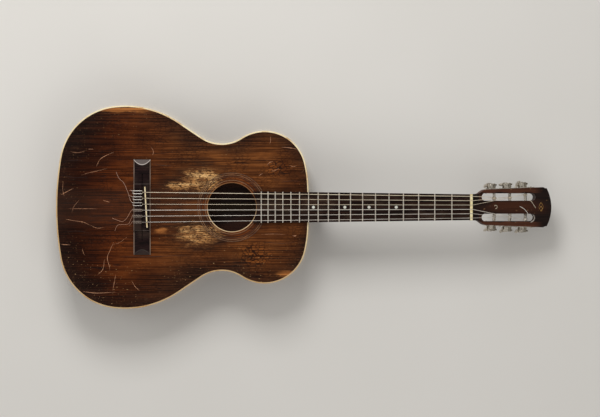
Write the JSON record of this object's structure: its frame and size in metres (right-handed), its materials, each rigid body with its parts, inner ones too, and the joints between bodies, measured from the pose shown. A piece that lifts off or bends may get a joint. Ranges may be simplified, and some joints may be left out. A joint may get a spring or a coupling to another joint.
{
  "type": "acoustic guitar",
  "caption": "Small-bodied flat-top acoustic guitar lying on its back, with a slotted headstock, tie bridge and worm-geared tuners that turn the string posts.",
  "frame": {"origin": "on the flat outer face of the back, straight below the centre of the soundhole", "axes": "+X along the neck towards the head, +Y towards the bass side, +Z out of the soundboard; the guitar lies on its back"},
  "size_m": [1.0015, 0.4094, 0.1137],
  "materials": {
    "soundboard_wood": "aged gloss varnish, worn",
    "back_and_side_wood": "aged gloss varnish",
    "neck_wood": "satin varnish",
    "head_veneer_wood": "gloss varnish",
    "fingerboard_wood": "oiled",
    "bridge_wood": "oiled",
    "inner_wood": "bare",
    "binding_plastic": "yellowed ivory, satin",
    "rosette_inlay": "gloss varnish",
    "bone": "polished bone",
    "pearl": "mother-of-pearl",
    "fret_metal": "worn polish",
    "tuner_metal": "aged nickel plate",
    "gear_metal": "dull, tarnished",
    "wound_string": "fine winding",
    "plain_string": "bright wire"
  },
  "bodies": {
    "guitar": {"soundboard": "soundboard_wood", "back_plate": "back_and_side_wood", "side_bass": "back_and_side_wood", "side_treble": "back_and_side_wood", "top_binding": "binding_plastic", "back_binding": "binding_plastic", "tail_graft": "binding_plastic", "linings": "inner_wood", "neck_block": "inner_wood", "tail_block": "inner_wood", "top_braces": "inner_wood", "soundhole_patch": "inner_wood", "back_braces": "inner_wood", "back_strip": "inner_wood", "rosette": "rosette_inlay", "bridge": "bridge_wood", "saddle": "bone", "neck": "neck_wood", "heel_cap": "neck_wood", "headstock": "neck_wood", "head_veneer": "head_veneer_wood", "fingerboard": "fingerboard_wood", "frets": "fret_metal", "position_dots": "pearl", "nut": "bone", "tuner_plate_bass": "tuner_metal", "tuner_plate_treble": "tuner_metal", "plate_screws": "tuner_metal", "string_6": "wound_string", "string_5": "wound_string", "string_4": "wound_string", "string_3": "plain_string", "string_2": "plain_string", "string_1": "plain_string"},
    "knob_6": {"tuner_worm_6": "tuner_metal", "tuner_button_6": "tuner_metal"},
    "post_6": {"string_post_6": "tuner_metal", "tuner_gear_6": "gear_metal"},
    "knob_5": {"tuner_worm_5": "tuner_metal", "tuner_button_5": "tuner_metal"},
    "post_5": {"string_post_5": "tuner_metal", "tuner_gear_5": "gear_metal"},
    "knob_4": {"tuner_worm_4": "tuner_metal", "tuner_button_4": "tuner_metal"},
    "post_4": {"string_post_4": "tuner_metal", "tuner_gear_4": "gear_metal"},
    "knob_3": {"tuner_worm_3": "tuner_metal", "tuner_button_3": "tuner_metal"},
    "post_3": {"string_post_3": "tuner_metal", "tuner_gear_3": "gear_metal"},
    "knob_2": {"tuner_worm_2": "tuner_metal", "tuner_button_2": "tuner_metal"},
    "post_2": {"string_post_2": "tuner_metal", "tuner_gear_2": "gear_metal"},
    "knob_1": {"tuner_worm_1": "tuner_metal", "tuner_button_1": "tuner_metal"},
    "post_1": {"string_post_1": "tuner_metal", "tuner_gear_1": "gear_metal"}
  },
  "joints": [
    {"name": "knob_turn_6", "type": "hinge", "parent": "guitar", "child": "knob_6", "pos_m": [0.52038, 0.04458, 0.08362], "axis": [-0.2419, 0, -0.9703], "continuous": true},
    {"name": "post_turn_6", "type": "hinge", "parent": "guitar", "child": "post_6", "pos_m": [0.52895, 0.03653, 0.08149], "axis": [-0.0396, 0.9992, 0.0099], "continuous": true},
    {"name": "knob_turn_5", "type": "hinge", "parent": "guitar", "child": "knob_5", "pos_m": [0.5524, 0.04593, 0.07564], "axis": [-0.2419, 0, -0.9703], "continuous": true},
    {"name": "post_turn_5", "type": "hinge", "parent": "guitar", "child": "post_5", "pos_m": [0.56098, 0.03788, 0.0735], "axis": [-0.0396, 0.9992, 0.0099], "continuous": true},
    {"name": "knob_turn_4", "type": "hinge", "parent": "guitar", "child": "knob_4", "pos_m": [0.58442, 0.04728, 0.06766], "axis": [-0.2419, 0, -0.9703], "continuous": true},
    {"name": "post_turn_4", "type": "hinge", "parent": "guitar", "child": "post_4", "pos_m": [0.59299, 0.03923, 0.06552], "axis": [-0.0396, 0.9992, 0.0099], "continuous": true},
    {"name": "knob_turn_3", "type": "hinge", "parent": "guitar", "child": "knob_3", "pos_m": [0.58442, -0.04728, 0.06766], "axis": [-0.2419, 0, -0.9703], "continuous": true},
    {"name": "post_turn_3", "type": "hinge", "parent": "guitar", "child": "post_3", "pos_m": [0.59299, -0.03923, 0.06552], "axis": [-0.0396, -0.9992, 0.0099], "continuous": true},
    {"name": "knob_turn_2", "type": "hinge", "parent": "guitar", "child": "knob_2", "pos_m": [0.5524, -0.04593, 0.07564], "axis": [-0.2419, 0, -0.9703], "continuous": true},
    {"name": "post_turn_2", "type": "hinge", "parent": "guitar", "child": "post_2", "pos_m": [0.56098, -0.03788, 0.0735], "axis": [-0.0396, -0.9992, 0.0099], "continuous": true},
    {"name": "knob_turn_1", "type": "hinge", "parent": "guitar", "child": "knob_1", "pos_m": [0.52038, -0.04458, 0.08362], "axis": [-0.2419, 0, -0.9703], "continuous": true},
    {"name": "post_turn_1", "type": "hinge", "parent": "guitar", "child": "post_1", "pos_m": [0.52895, -0.03653, 0.08149], "axis": [-0.0396, -0.9992, 0.0099], "continuous": true}
  ],
  "couplings": [
    {"joint": "post_turn_6", "follows": "knob_turn_6", "ratio": 0.071429},
    {"joint": "post_turn_5", "follows": "knob_turn_5", "ratio": 0.071429},
    {"joint": "post_turn_4", "follows": "knob_turn_4", "ratio": 0.071429},
    {"joint": "post_turn_3", "follows": "knob_turn_3", "ratio": 0.071429},
    {"joint": "post_turn_2", "follows": "knob_turn_2", "ratio": 0.071429},
    {"joint": "post_turn_1", "follows": "knob_turn_1", "ratio": 0.071429}
  ]
}
